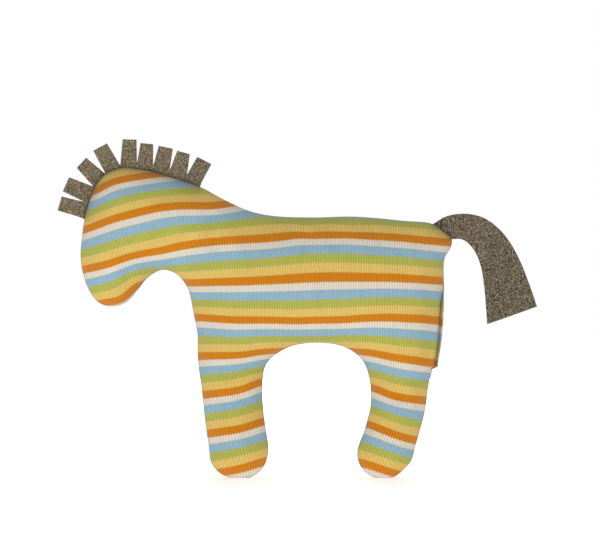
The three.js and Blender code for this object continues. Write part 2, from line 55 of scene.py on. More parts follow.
POLL, BACK, BELLY = 142.4, 119.6, 62
MUZZLE, THROAT = 78.7, 95.5
FOREHEAD_X, CHEST_X, RUMP_X = -98.6, -48.3, 67.7
ARCH_X, ARCH_HALF_WIDTH, ARCH_RISE, ARCH_SQUARENESS = 8.8, 24.6, 22, 2.4
FORE_SOLE_X, HIND_SOLE_X, FORE_LEAN, HIND_LEAN = -27.2, 40.2, -4, 3
SOLE_HALF_WIDTH, SOLE_RISE, SOLE_FLAT, SOLE_SQUARENESS = 13.8, 13.4, 0.5, 2.2
FULLNESS = 24
ROUND_STEPS = 6
PROFILE_STEPS = 8

FELT_THICKNESS = 2.5
TAB_PITCH, SLIT_WIDTH = 7.55, 0.65
TAB_ROOT_WIDTH = TAB_PITCH - SLIT_WIDTH
TAB_TIP_WIDTHS = [6.7, 7.1, 6.4, 7.1, 6.4, 5.8, 6.6, 6, 7.3]
TAB_LENGTHS = [12.9, 12.9, 11.6, 12.2, 13.1, 12.3, 12.5, 12.7, 12.2]
SLIT_HEIGHTS = [3.4, 1.6, 0.4, 0.4, 1.6, 3, 2.9, 3.2, 3.4]
TAB_LEANS = [-1, -4, -4, 6, 5, 3, 5, 2, -8]
TAB_NUDGES = [-0.8, -0.9, -0.1, -0.3, -0.2, -0.7, -0.7, -0.4, -0.3]
FORELOCK_INSET, FORELOCK_SHARE = 1.6, 0.692
TAIL_CORNER = np.array([RUMP_X + 3.2, BACK - 10])
TAIL_SEAM = ((-8.8, 7), (-0.2, 0))
BALL_X = 12


def signed_power(value, power):
    return math.copysign(abs(value) ** power, value)


def lerp(low, high, share):
    return low + (high - low) * share


def eased(value, start, stop):
    share = np.clip((value - start) / (stop - start), 0, 1)
    return share * share * (3 - 2 * share)


def turned(vector, degrees):
    cos, sin = math.cos(math.radians(degrees)), math.sin(math.radians(degrees))
    return np.array([vector[0] * cos - vector[1] * sin, vector[0] * sin + vector[1] * cos])


def half_round(step, half_width, rise, squareness):
    """How far along and how far up a step of a half round lies, squared off at its corners."""
    angle = math.pi * step / ROUND_STEPS
    along = half_width * signed_power(math.cos(angle), 2 / squareness)
    return along, rise * signed_power(math.sin(angle), 2 / squareness)


def sole(x, lean):
    points = []
    for k in range(ROUND_STEPS, -1, -1):
        along, down = half_round(k, SOLE_HALF_WIDTH, SOLE_RISE + SOLE_FLAT, SOLE_SQUARENESS)
        leaned = turned((-along, -down), lean)
        points.append((x + leaned[0], SOLE_RISE + leaned[1]))
    return points


def arch():
    points = []
    for k in range(ROUND_STEPS + 1):
        along, up = half_round(k, ARCH_HALF_WIDTH, ARCH_RISE, ARCH_SQUARENESS)
        points.append((ARCH_X + along, BELLY - ARCH_RISE + up))
    return points


def profile_points():
    """The seam line seen from the side, clockwise from the poll."""
    hind_out, hind_in = HIND_SOLE_X + SOLE_HALF_WIDTH, HIND_SOLE_X - SOLE_HALF_WIDTH
    fore_out, fore_in = FORE_SOLE_X - SOLE_HALF_WIDTH, FORE_SOLE_X + SOLE_HALF_WIDTH
    arch_left, arch_right = ARCH_X - ARCH_HALF_WIDTH, ARCH_X + ARCH_HALF_WIDTH
    crest = lambda share: lerp(BACK, POLL, share)
    rump = lambda share: lerp(BELLY, BACK, share)
    leg = lambda share: lerp(SOLE_RISE, BELLY, share)
    chest = lambda share: lerp(BELLY, THROAT, share)
    face = lambda share: lerp(MUZZLE, POLL, share)
    jaw = lambda back, up: (lerp(FOREHEAD_X + 20, CHEST_X, back), lerp(MUZZLE, THROAT, up))
    return [
        (FOREHEAD_X + 17.6, POLL), (FOREHEAD_X + 25.3, crest(0.969)), (FOREHEAD_X + 32.6, crest(0.912)),
        (FOREHEAD_X + 40.6, crest(0.803)), (CHEST_X + 3.3, crest(0.614)), (CHEST_X + 14.7, crest(0.351)),
        (CHEST_X + 25.8, crest(0.132)),
        (ARCH_X - 20.3, BACK + 0.7), (ARCH_X - 1.8, BACK), (ARCH_X + 16.5, BACK + 0.4),
        (RUMP_X - 22.7, BACK - 1), (RUMP_X - 9.7, BACK - 1.8),
        (RUMP_X - 5.1, BACK - 3.2), (RUMP_X - 0.8, BACK - 6.4), (RUMP_X + 3.2, BACK - 10),
        (RUMP_X + 2.9, BACK - 13.8),
        (RUMP_X + 0.5, rump(0.682)), (RUMP_X, rump(0.486)), (RUMP_X - 0.5, rump(0.278)),
        (RUMP_X - 1.8, BELLY - 1), (RUMP_X - 3.8, leg(0.784)),
        (hind_out + 6.8, leg(0.609)), (hind_out + 4.1, leg(0.321)), *sole(HIND_SOLE_X, HIND_LEAN),
        (hind_in + 2.6, leg(0.208)), (arch_right - 0.8, leg(0.383)), *arch(), (arch_left + 0.4, leg(0.372)),
        (fore_in - 0.9, leg(0.177)), *sole(FORE_SOLE_X, FORE_LEAN), (fore_out - 1.5, leg(0.239)),
        (fore_out - 3, leg(0.506)), (CHEST_X + 2, leg(0.897)), (CHEST_X + 1.3, chest(0.179)),
        (CHEST_X, chest(0.448)), (CHEST_X - 2.3, chest(0.746)), jaw(0.746, 0.893), jaw(0.535, 1),
        jaw(0.33, 0.815), jaw(0.165, 0.47), jaw(0, 0.131),
        (FOREHEAD_X + 13.5, MUZZLE), (FOREHEAD_X + 7, MUZZLE + 1.8), (FOREHEAD_X + 2.5, MUZZLE + 7.7),
        (FOREHEAD_X - 0.3, face(0.245)), (FOREHEAD_X - 1.3, face(0.366)), (FOREHEAD_X - 0.6, face(0.507)),
        (FOREHEAD_X + 0.4, face(0.623)), (FOREHEAD_X + 3.1, face(0.774)), (FOREHEAD_X + 6, face(0.878)),
        (FOREHEAD_X + 10.6, face(0.959)),
    ]


def smooth_run(points, closed, steps):
    """A centripetal spline through the points."""
    knots = np.array(points, float)
    count = len(knots)
    ends = [2 * knots[0] - knots[1], 2 * knots[-1] - knots[-2]]

    def knot(i):
        if closed or 0 <= i < count:
            return knots[i % count]
        return ends[0] if i < 0 else ends[1]

    run = []
    for i in range(count if closed else count - 1):
        before, start, stop, after = (knot(i + k) for k in (-1, 0, 1, 2))
        d0, d1, d2 = (math.sqrt(math.dist(a, b)) for a, b in ((before, start), (start, stop), (stop, after)))
        leave = ((start - before) / d0 - (stop - before) / (d0 + d1) + (stop - start) / d1) * d1
        reach = ((stop - start) / d1 - (after - start) / (d1 + d2) + (after - stop) / d2) * d1
        for k in range(steps):
            t = k / steps
            bend = 3 * (stop - start) - 2 * leave - reach
            run.append(start + leave * t + bend * t * t + (2 * (start - stop) + leave + reach) * t**3)
    if not closed:
        run.append(knots[-1])
    return np.array(run)


TINY = 1e-9


def unit(vectors):
    return vectors / np.maximum(np.linalg.norm(vectors, axis=1, keepdims=True), TINY)


def outward_of(line):
    along = np.roll(line, -1, axis=0) - np.roll(line, 1, axis=0)
    return unit(np.stack([-along[:, 1], along[:, 0]], axis=1))


def standing(line, across):
    """Places in space from a line in the side view and how far across each point lies."""
    return np.column_stack([line[:, 0], np.broadcast_to(across, len(line)), line[:, 1]])


def evenly(line, spacing):
    """A closed line with its points moved to even spacing."""
    closed = np.vstack([line, line[:1]])
    run = np.concatenate([[0], np.cumsum(np.linalg.norm(np.diff(closed, axis=0), axis=1))])
    count = round(run[-1] / spacing)
    wanted = np.arange(count) * run[-1] / count
    return np.stack([np.interp(wanted, run, closed[:, axis]) for axis in (0, 1)], axis=1)


def is_inside(line, points):
    inside = np.zeros(len(points), bool)
    for a, b in zip(line, np.roll(line, -1, axis=0)):
        crosses = (a[1] > points[:, 1]) != (b[1] > points[:, 1])
        if a[1] != b[1]:
            inside ^= crosses & (points[:, 0] < a[0] + (b[0] - a[0]) * (points[:, 1] - a[1]) / (b[1] - a[1]))
    return inside


def distance_to_side(a, b, points):
    side = b - a
    along = np.clip((points - a) @ side / (side @ side), 0, 1)
    return np.linalg.norm(points - a - along[:, None] * side, axis=1)


def distance_to(line, points):
    nearest = np.full(len(points), np.inf)
    for a, b in zip(line, np.roll(line, -1, axis=0)):
        nearest = np.minimum(nearest, distance_to_side(a, b, points))
    return nearest


ROW_CLEARANCE, ROW_SPREAD, LATTICE_CLEARANCE = 0.93, 0.75, 0.5
SAME_PLACE = 1e-7


def flat_mesh(outline, insets, lattice):
    """Points and triangles of a cut-out: its outline, then rows along its edge, then an even lattice."""
    kept = outline
    before = 0
    outward = outward_of(outline)
    for row, inset in enumerate(insets):
        start = outline if row % 2 else (outline + np.roll(outline, -1, axis=0)) / 2
        square = outward if row % 2 else outward + np.roll(outward, -1, axis=0)
        places = start - unit(square) * inset
        places = places[is_inside(outline, places)]
        places = places[distance_to(outline, places) > ROW_CLEARANCE * inset]
        for spot in places:
            if np.min(np.sum((kept - spot) ** 2, axis=1)) > (ROW_SPREAD * (inset - before)) ** 2:
                kept = np.vstack([kept, spot])
        before = inset
    low, high = outline.min(axis=0), outline.max(axis=0)
    rows = np.arange(low[1], high[1], lattice * math.sin(math.pi / 3))
    columns = np.arange(low[0], high[0], lattice)
    grid = np.array([(x + (row % 2) * lattice / 2, z) for row, z in enumerate(rows) for x in columns])
    grid = grid[is_inside(outline, grid)]
    grid = grid[distance_to(outline, grid) > before + LATTICE_CLEARANCE * lattice]
    points = np.vstack([kept, grid])
    edges = [(i, (i + 1) % len(outline)) for i in range(len(outline))]
    made = geometry.delaunay_2d_cdt([Vector(p) for p in points], edges, [], 1, SAME_PLACE, False)
    triangles = np.array(made[2])
    triangles = triangles[is_inside(outline, points[triangles].mean(axis=1))]
    a, b, c = (points[triangles[:, k]] for k in range(3))
    turn = (b[:, 0] - a[:, 0]) * (c[:, 1] - a[:, 1]) - (b[:, 1] - a[:, 1]) * (c[:, 0] - a[:, 0])
    triangles[turn < 0] = triangles[turn < 0][:, ::-1]
    return points, triangles[np.abs(turn) > TINY]


# Fields solved on a mesh

SLIVER_CROSS = 1e-10
MOST_WEIGHT = 2
BALANCED = 1e-12


def edge_weights(points, triangles):
    """Both ends and the cotangent weight of every triangle's edges, the area round each point, and how much
    each triangle counts, which is less than 1 for slivers."""
    starts, stops, weights = [], [], []
    areas = np.zeros(len(points))
    for k in range(3):
        i, j, far = triangles[:, k], triangles[:, (k + 1) % 3], triangles[:, (k + 2) % 3]
        a, b = points[i] - points[far], points[j] - points[far]
        squared = np.sum(a * a, 1) * np.sum(b * b, 1) - np.sum(a * b, 1) ** 2
        cross = np.sqrt(np.maximum(squared, SLIVER_CROSS))
        starts.append(i)
        stops.append(j)
        weights.append(np.sum(a * b, axis=1) / cross / 2)
        areas += np.bincount(far, cross / 6, len(points))
    trust = np.minimum(1, MOST_WEIGHT / np.max(np.abs(weights), axis=0))
    weights = np.concatenate([weight * trust for weight in weights])
    return np.concatenate(starts), np.concatenate(stops), weights, areas, trust


def solved(weights, hold, pull, sweeps, free=True):
    """Values that balance each point's hold and pull against its neighbours, by conjugate gradients."""
    i, j, w = weights
    count = len(hold)

    def balance(x):
        flow = w * (x[i] - x[j])
        y = hold * x + np.bincount(i, flow, count) - np.bincount(j, flow, count)
        return np.where(free, y, 0)

    scale = hold + np.bincount(i, w, count) + np.bincount(j, w, count)
    scale = np.where(scale > TINY, scale, 1)
    x = np.zeros(count)
    left = np.where(free, pull, 0)
    step = left / scale
    search = step.copy()
    size = left @ step
    for _ in range(sweeps):
        moved = balance(search)
        share = size / (search @ moved)
        x += share * search
        left -= share * moved
        step = left / scale
        before, size = size, left @ step
        if size < BALANCED * max(1.0, pull @ pull):
            break
        search = step + size / before * search
    return x


# The panels

# Where the stuffed cloth draws its edge away from the pattern: place, movement and reach
DRAWN_EDGES = [
    ((67.9, 96), (-0.8, 0), 12), ((-13.5, 52), (-1.4, 0), 9), ((-15.5, 28), (-0.6, 0), 16),
    ((30, 21), (2.3, 0), 10), ((50, 3), (-2.2, 0), 7), ((-46.8, 65), (0.7, 0), 7),
    ((53, 118.3), (0, -0.5), 8),
]


def drawn_in(line):
    for spot, movement, reach in DRAWN_EDGES:
        near = np.exp(-np.sum((line - spot) ** 2, axis=1) / reach**2)
        line = line + near[:, None] * movement
    return line


CENTRE_SHIFT = sum(corner.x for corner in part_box("rattle_cup")) / 2 / MM - BALL_X
profile = drawn_in(smooth_run(profile_points(), True, PROFILE_STEPS) + (CENTRE_SHIFT, 0))
TAIL_CORNER = TAIL_CORNER + (CENTRE_SHIFT, 0)
profile_outward = outward_of(profile)
runs = np.concatenate([[0], np.cumsum(np.linalg.norm(np.roll(profile, -1, axis=0) - profile, axis=1))])


def profile_at(run):
    """A place on the profile and its outward direction, by arc length."""
    wanted = run % runs[-1]
    i = int(np.searchsorted(runs, wanted, side="right")) - 1
    after = (i + 1) % len(profile)
    share = (wanted - runs[i]) / (runs[i + 1] - runs[i])
    outward = lerp(profile_outward[i], profile_outward[after], share)
    return lerp(profile[i], profile[after], share), outward / np.linalg.norm(outward)


def nearest_run(spot):
    """The arc length at the point of the profile nearest to a spot."""
    return runs[np.argmin(np.linalg.norm(profile - spot, axis=1))]


forelock = np.array([FOREHEAD_X + FORELOCK_INSET + CENTRE_SHIFT, lerp(MUZZLE, POLL, FORELOCK_SHARE)])
mane_start = nearest_run(forelock)

RIM_SPACING = 1.3
EDGE_ROWS = (0.4, 1.1, 2.2, 3.6)
LATTICE = 2.1

rim = evenly(profile, RIM_SPACING)
flat, flat_triangles = flat_mesh(rim, EDGE_ROWS, LATTICE)
on_rim = np.arange(len(flat)) < len(rim)


def swelling():
    """Half thickness of the stuffed form: a pressed membrane held along the seam."""
    i, j, w, areas, _ = edge_weights(flat, flat_triangles)
    squares = solved((i, j, w), 2 * areas / FULLNESS**2, 2 * areas, sweeps=600, free=~on_rim)
    return np.sqrt(np.maximum(squares, 0))


half_thickness = swelling()

# Depth below the profile, and share of the seam's half width
SEAM_ROWS = ((0.1, 0.55), (0.45, 0.25), (0.8, 0.0))
SEAM_HALF_WIDTH = 1.5
SEAM_MOUTH = 0.12
SEAM_FALL, LEAST_FALL = 0.7, 0.35
FELT_ROOM = FELT_THICKNESS / 2 + 0.05
FELT_FADE = 1.6


def mane_ends():
    """Where the mane starts and stops along the seam."""
    last = mane_start + (len(TAB_LENGTHS) - 1) * TAB_PITCH
    return mane_start + TAB_NUDGES[0] - TAB_PITCH / 2, last + TAB_NUDGES[-1] + TAB_PITCH / 2


def held_by_felt():
    """How far the seam is held open by felt, from 0 to 1, for each point of the rim."""
    tail_ends = sorted(nearest_run(TAIL_CORNER + end) for end in TAIL_SEAM)
    total = runs[-1]
    run = np.arange(len(rim)) * total / len(rim)
    held = np.zeros(len(rim))
    for start, stop in (mane_ends(), tail_ends):
        middle, half = (start + stop) / 2, (stop - start) / 2
        away = np.abs((run - middle + total / 2) % total - total / 2) - half
        held = np.maximum(held, np.clip(1 - away / FELT_FADE, 0, 1))
    return eased(held, 0, 1)


def shell():
    """One stuffed panel towards the camera, with the rows of its edge that turn in at the seam."""
    outward = outward_of(rim)
    count = len(rim)
    mouth = SEAM_MOUTH + held_by_felt() * FELT_ROOM
    height = half_thickness.copy()
    near = np.full(count, np.inf)
    for a, b, c in flat_triangles:
        for point, other in ((a, b), (b, c), (c, a), (b, a), (c, b), (a, c)):
            if point < count <= other:
                near[point] = min(near[point], height[other])
    height[:count] = np.minimum(mouth + SEAM_HALF_WIDTH, np.maximum(SEAM_FALL * near, mouth + LEAST_FALL))
    points = [standing(flat, -height)]
    triangles = [flat_triangles]
    ring = np.arange(count)
    ahead = (ring + 1) % count
    above = ring
    for depth, share in SEAM_ROWS:
        across = mouth + share * (height[:count] - mouth)
        below = sum(len(part) for part in points) + ring
        points.append(standing(rim - outward * depth, -across))
        triangles.append(np.stack([above, above[ahead], below], axis=1))
        triangles.append(np.stack([above[ahead], below[ahead], below], axis=1))
        above = below
    return np.vstack(points), np.vstack(triangles)


# How the knit lies: courses run along the stripes, wales run square to them

# Middles of the orange stripes in the side view, by their count of stripe repeats
COURSES = [
    (0, [(-93.5, 131.5), (-86, 135.5), (-75, 138), (-64, 139.5)]),
    (1, [(-96.5, 114.5), (-86, 118.5), (-75, 121.5), (-64, 124), (-53, 125), (-38.5, 125)]),
    (1.49, [(-17, 120), (4, 120), (24, 119.8), (52, 118)]),
    (1.68, [(-17, 116), (4, 116), (24, 116), (52, 115)]),
    (2, [(-96.5, 96), (-86, 98.5), (-75, 102), (-64, 104), (-53, 106.5), (-38.5, 108.5), (-24, 109.5),
         (-9, 110.5), (2, 111.5), (13, 111.5), (24, 111.5), (35, 111), (50, 110), (64.5, 108.5)]),
    (3, [(-87.5, 80.5), (-83.5, 81), (-80, 82.5), (-76.5, 85.5), (-74.5, 87.5), (-46, 89.5), (-31, 90),
         (-9, 91), (9.5, 92), (31.5, 92), (50, 91.5), (64.5, 90.5)]),
    (4, [(-46, 73.5), (-31, 72.5), (-1.5, 72), (20.5, 72.5), (42.5, 73.5), (64.5, 72.5)]),
    (5, [(-38.5, 56), (-24, 56.5), (-18, 57.5), (31.5, 57.5), (42.5, 55.5), (61, 53)]),
    (6, [(-38.5, 38.5), (-24, 41), (-18, 43.5), (35, 41), (42.5, 38), (57.5, 35.5)]),
    (7, [(-38.5, 20.5), (-24, 23), (-18, 25), (35, 23.5), (42.5, 20.5), (50, 18)]),
    (8, [(-31, 3), (-24, 4.5), (-18, 6.5), (35, 5), (42.5, 2.5)]),
]
RIB_PITCH = 1.05
SLACK_WIDENING = 0.16
# Heights over which the legs go over into the body, and places along it where the head does
LEG_SPAN, HEAD_SPAN = (40, 60), (-70, -45)
HEAD_SLACKNESS = 0.5
GUIDE_SOFTNESS = 1.5
GUIDE_HOLD = 5
LEAST_FACING, FACING_FADE = 0.15, 0.5
RIB_ANCHOR = 1e-7
VIEW_CENTRE = (1.15, 95.9)
VIEW_DISTANCE = 1600


def spline_rise(distance_sq):
    return np.where(distance_sq > TINY, distance_sq * np.log(np.maximum(distance_sq, TINY)), 0)


def course_guide():
    """A thin plate bent through the orange stripes' middles, as a function of places in the side view."""
    places = np.array([spot for _, row in COURSES for spot in row])
    counts = np.array([count for count, row in COURSES for _ in row], float)
    apart = np.sum((places[:, None] - places[None]) ** 2, axis=2)
    sides = np.column_stack([np.ones(len(places)), places])
    system = np.block([[spline_rise(apart) + GUIDE_SOFTNESS * np.eye(len(places)), sides],
                       [sides.T, np.zeros((3, 3))]])
    found = np.linalg.solve(system, np.concatenate([counts, np.zeros(3)]))

    def guide(at):
        rise = spline_rise(np.sum((at[:, None] - places[None]) ** 2, axis=2))
        return rise @ found[:-3] + found[-3] + at @ found[-2:]

    return guide


def slackness(side_view):
    """How slack the knit lies, from 0 over the body to 1 down the legs."""
    legs = 1 - eased(side_view[:, 1], *LEG_SPAN)
    head = 1 - eased(side_view[:, 0], *HEAD_SPAN)
    return np.maximum(legs, HEAD_SLACKNESS * head)


def laid_knit(points, triangles):
    """Counts of stripe repeats and of ribs at every point, unstretched where the surface turns away."""
    guide = course_guide()
    nearer = 1 - points[:, 1:2] / VIEW_DISTANCE
    side_view = VIEW_CENTRE + (points[:, [0, 2]] - VIEW_CENTRE) * nearer
    wanted = guide(side_view)
    middles = side_view[triangles].mean(axis=1)
    nudge = 0.5
    slopes = [(guide(middles + shift) - guide(middles - shift)) / (2 * nudge)
              for shift in np.eye(2) * nudge]
    downhill = np.stack([slopes[0], np.zeros(len(middles)), slopes[1]], axis=1)
    a, b, c = (points[triangles[:, k]] for k in range(3))
    normal = unit(np.cross(b - a, c - a))
    laid = unit(downhill - normal * np.sum(downhill * normal, axis=1, keepdims=True))
    steepness = np.linalg.norm(downhill, axis=1, keepdims=True)
    pitch = RIB_PITCH * (1 + SLACK_WIDENING * slackness(middles))
    across = np.cross(normal, laid) / pitch[:, None]
    i, j, w, areas, trust = edge_weights(points, triangles)

    def spread(wanted_slope):
        pull = np.zeros(len(points))
        for k, edge in enumerate((c - b, a - c, b - a)):
            share = trust * np.sum(wanted_slope * np.cross(normal, edge), axis=1) / 2
            pull += np.bincount(triangles[:, k], share, len(points))
        return pull

    facing = np.bincount(triangles.ravel(), np.repeat(np.abs(normal[:, 1]), 3), len(points))
    facing /= np.maximum(np.bincount(triangles.ravel(), minlength=len(points)), 1)
    hold = areas * GUIDE_HOLD * np.clip((facing - LEAST_FACING) / FACING_FADE, 0, 1) ** 3
    stripes = solved((i, j, w), hold, hold * wanted + spread(laid * steepness), sweeps=1500)
    ribs = solved((i, j, w), areas * RIB_ANCHOR, spread(across), sweeps=3000)
    return stripes, ribs


def drifting(at, size, seed):
    """Smooth noise from -1 to 1 at every point, over features of a size."""
    return np.array([noise.noise(Vector(p) / size + Vector((seed, seed * 0.37, -seed))) for p in at])


def new_object(name, data):
    made = bpy.data.objects.new(name, data)
    bpy.context.scene.collection.objects.link(made)
    return made


def new_mesh(name, places, faces, material=None):
    """A smooth mesh piece from millimetre places."""
    mesh = bpy.data.meshes.new(name)
    corners = [tuple(p) for p in np.asarray(places) * MM]
    mesh.from_pydata(corners, [], [tuple(int(k) for k in face) for face in faces])
    mesh.polygons.foreach_set("use_smooth", [True] * len(mesh.polygons))
    mesh.update()
    if material:
        mesh.materials.append(material)
    return new_object(name, mesh)


def keep_values(piece, **fields):
    """Stores a number for every point of a piece, for its material."""
    for name, values in fields.items():
        stored = piece.data.attributes.new(name, "FLOAT", "POINT")
        stored.data.foreach_set("value", np.asarray(values, np.float32))


# Shader groups


def set_inputs(tree, node, values):
    """Sets a node's inputs to numbers and colours, or joins them to other nodes' sockets."""
    for key, value in dict(values).items():
        if isinstance(value, bpy.types.NodeSocket):
            tree.links.new(value, node.inputs[key])
        else:
            node.inputs[key].default_value = value


def place(tree, kind, values=(), **settings):
    """A shader node with its settings and inputs."""
    node = tree.nodes.new("ShaderNode" + kind)
    for name, value in settings.items():
        setattr(node, name, value)
    set_inputs(tree, node, values)
    return node


def sum_of(tree, operation, *values):
    return place(tree, "Math", enumerate(values), operation=operation).outputs[0]


def times(tree, first, second):
    return sum_of(tree, "MULTIPLY", first, second)


def mixed(tree, share, first, second, blend="MIX"):
    values = {"Factor": share, 6: first, 7: second}
    return place(tree, "Mix", values, data_type="RGBA", blend_type=blend).outputs[2]


def ramp(tree, value, low, high, kind="SMOOTHSTEP"):
    values = {"Value": value, "From Min": low, "From Max": high}
    return place(tree, "MapRange", values, interpolation_type=kind).outputs[0]


def noise_of(tree, at, scale, detail=2.0, roughness=0.5, distortion=0.0):
    values = {"Vector": at, "Scale": scale, "Detail": detail, "Roughness": roughness}
    return place(tree, "TexNoise", {**values, "Distortion": distortion}).outputs[0]


def new_group(name, inputs, outputs):
    """An empty shader group: inputs are numbers, colours or vectors by their default value."""
    group = bpy.data.node_groups.new(name, "ShaderNodeTree")
    kinds = {int: "Float", float: "Float", tuple: "Color", str: "Vector"}
    for label, value in inputs.items():
        kind = kinds[type(value)]
        socket = group.interface.new_socket(label, in_out="INPUT", socket_type="NodeSocket" + kind)
        if kind != "Vector":
            socket.default_value = value
    for label, kind in outputs.items():
        group.interface.new_socket(label, in_out="OUTPUT", socket_type="NodeSocket" + kind)
    return group, group.nodes.new("NodeGroupInput").outputs, group.nodes.new("NodeGroupOutput")


def shade(red, green, blue):
    """A linear colour from red, green and blue as seen on a screen, 0 to 255."""
    linear = [((v / 255 + 0.055) / 1.055) ** 2.4 if v > 10 else v / 255 / 12.92 for v in (red, green, blue)]
    return (*linear, 1.0)


STITCH_RELIEF = 0.14
RIB_ROUNDNESS = 0.6
VALLEY_NARROWING = 1.8


def rib_knit_group():
    """Ribs along the wales, with rows of slanted stitches across them."""
    inputs = {"Course": 0.0, "Wale": 0.0, "Rows In A Repeat": 25.0, "Slant": 0.35, "Comb Depth": 0.011}
    outputs = {"Height": "Float", "Valley": "Float", "Comb": "Float"}
    group, given, made = new_group("rib_knit", inputs, outputs)
    turn = times(group, given["Wale"], 2 * math.pi)
    wave = sum_of(group, "COSINE", turn)
    ridge = sum_of(group, "MULTIPLY_ADD", wave, 0.5, 0.5)
    across = sum_of(group, "PINGPONG", given["Wale"], 0.5)
    slanted = times(group, across, times(group, given["Slant"], 4.0))
    rows = sum_of(group, "MULTIPLY_ADD", given["Course"], given["Rows In A Repeat"], slanted)
    stitch = sum_of(group, "COSINE", times(group, rows, 2 * math.pi))
    stitch = sum_of(group, "MULTIPLY_ADD", stitch, STITCH_RELIEF, STITCH_RELIEF)
    stitch = times(group, stitch, ridge)
    body = sum_of(group, "POWER", ridge, RIB_ROUNDNESS)
    valley = sum_of(group, "POWER", sum_of(group, "SUBTRACT", 1.0, ridge), VALLEY_NARROWING)
    comb = times(group, wave, given["Comb Depth"])
    set_inputs(group, made, {"Height": sum_of(group, "ADD", body, stitch), "Valley": valley, "Comb": comb})
    return group


# Where each yarn takes over from the last one in a repeat
STRIPE_STARTS = {"White": 0.203, "Blue": 0.365, "Green": 0.582, "Yellow": 0.787}
STRIPE_SHADES = {"Orange": shade(208, 127, 14), "White": shade(223, 215, 201), "Blue": shade(146, 181, 200),
                 "Green": shade(176, 179, 84), "Yellow": shade(222, 190, 104)}


def striped_yarn_group():
    """The repeat of five yarn colours, its edges combed by the ribs."""
    inputs = {"Course": 0.0, "Comb": 0.0, "Blur": 0.006, **STRIPE_SHADES}
    group, given, made = new_group("striped_yarn", inputs, {"Color": "Color"})
    half_orange = STRIPE_STARTS["White"] / 2
    shifted = sum_of(group, "ADD", sum_of(group, "ADD", given["Course"], half_orange), given["Comb"])
    share = sum_of(group, "FRACT", shifted)
    colour = given["Orange"]
    for name, start in STRIPE_STARTS.items():
        low = sum_of(group, "SUBTRACT", start, given["Blur"])
        high = sum_of(group, "ADD", start, given["Blur"])
        colour = mixed(group, ramp(group, share, low, high), colour, given[name])
    last = ramp(group, share, sum_of(group, "SUBTRACT", 1.0, given["Blur"]), 1.0, "LINEAR")
    set_inputs(group, made, {"Color": mixed(group, last, colour, given["Orange"])})
    return group


def fibre_tone_group():
    """Uneven dye and stray fibres: a tone round 1 that a colour is multiplied by, and a fine height."""
    inputs = {"Place": "", "Patch Size": 0.009, "Fibre Size": 0.0007, "Patches": 0.06, "Fibres": 0.18}
    group, given, made = new_group("fibre_tone", inputs, {"Tone": "Color", "Height": "Float"})
    patch_scale = sum_of(group, "DIVIDE", 1.0, given["Patch Size"])
    fibre_scale = sum_of(group, "DIVIDE", 1.0, given["Fibre Size"])
    patches = noise_of(group, given["Place"], patch_scale, detail=3.0)
    fibres = noise_of(group, given["Place"], fibre_scale, detail=3.0, roughness=0.65, distortion=0.8)
    tone = 1.0
    for field, amount in ((patches, given["Patches"]), (fibres, given["Fibres"])):
        centred = sum_of(group, "SUBTRACT", field, 0.5)
        swing = times(group, centred, times(group, amount, 2.0))
        tone = sum_of(group, "ADD", tone, swing)
    tone = place(group, "CombineColor", {"Red": tone, "Green": tone, "Blue": tone}).outputs[0]
    set_inputs(group, made, {"Tone": tone, "Height": fibres})
    return group


RIB_KNIT = rib_knit_group()
STRIPED_YARN = striped_yarn_group()
FIBRE_TONE = fibre_tone_group()


def new_material(name):
    material = bpy.data.materials.new(name)
    material.use_nodes = True
    tree = material.node_tree
    shader = tree.nodes["Principled BSDF"]
    where = place(tree, "TexCoord").outputs["Object"]
    return material, tree, shader, where


def use_group(tree, group, values):
    return place(tree, "Group", values, node_tree=group).outputs


def kept_value(tree, name):
    """The number that a piece keeps at each of its points under a name."""
    return place(tree, "Attribute", attribute_name=name).outputs["Fac"]


def raised(tree, height, strength, depth):
    """A normal that stands up with a height, by a depth in millimetres."""
    return place(tree, "Bump", {"Height": height, "Strength": strength, "Distance": depth * MM}).outputs[0]


# Strength of the painted shade in the rib valleys, and the mean of the valley shape that spreads it
RIB_SHADE_DEPTH = 0.35
MEAN_VALLEY = 0.39
FIBRE_FUZZ = 0.25
# Strengths of the painted shade in creases and seams: on the knit and on the felt
KNIT_CREASE_SHADE, FELT_CREASE_SHADE = 0.6, 0.65


def knit_material(name, start):
    material, tree, shader, where = new_material(name)
    course = sum_of(tree, "ADD", kept_value(tree, "course"), start)
    ribs = use_group(tree, RIB_KNIT, {"Course": course, "Wale": kept_value(tree, "wale")})
    yarn = use_group(tree, STRIPED_YARN, {"Course": course, "Comb": ribs["Comb"]})
    fibres = use_group(tree, FIBRE_TONE, {"Place": where})
    # A darker copy of the yarn colour, mixed in as painted shade in the rib valleys
    valley_shade = mixed(tree, 1.0, yarn["Color"], shade(172, 150, 112), "MULTIPLY")
    # Where the ribs are softer, that painted valley shade is spread evenly
    ribbing = kept_value(tree, "ribbing")
    softer = sum_of(tree, "SUBTRACT", RIB_SHADE_DEPTH, ribbing)
    evened = times(tree, softer, MEAN_VALLEY)
    depth = sum_of(tree, "MULTIPLY_ADD", ribs["Valley"], ribbing, evened)
    colour = mixed(tree, depth, yarn["Color"], valley_shade)
    colour = mixed(tree, 1.0, colour, fibres["Tone"], "MULTIPLY")
    # Painted shade in the seams and beside the felt, mixed towards dark brown
    crease = times(tree, kept_value(tree, "crease"), KNIT_CREASE_SHADE)
    colour = mixed(tree, crease, colour, shade(60, 48, 36))
    height = sum_of(tree, "MULTIPLY_ADD", fibres["Height"], FIBRE_FUZZ, ribs["Height"])
    set_inputs(tree, shader, {"Base Color": colour, "Normal": raised(tree, height, 0.45, 0.3),
                              "Roughness": 0.95, "Sheen Weight": 0.12, "Specular IOR Level": 0.2})
    return material


FIBRE_DIRECTIONS = (12, 71, 134)
FIBRE_STRETCH = (1, 0.8, 0.4)
FELT_STEPS = ((0.3, 0.49, "Middle"), (0.51, 0.7, "Light"))
WANDER_SCALE, WANDER = 260.0, 0.0015
PATCH_SCALE, PATCH_SWING = 0.08, 0.14


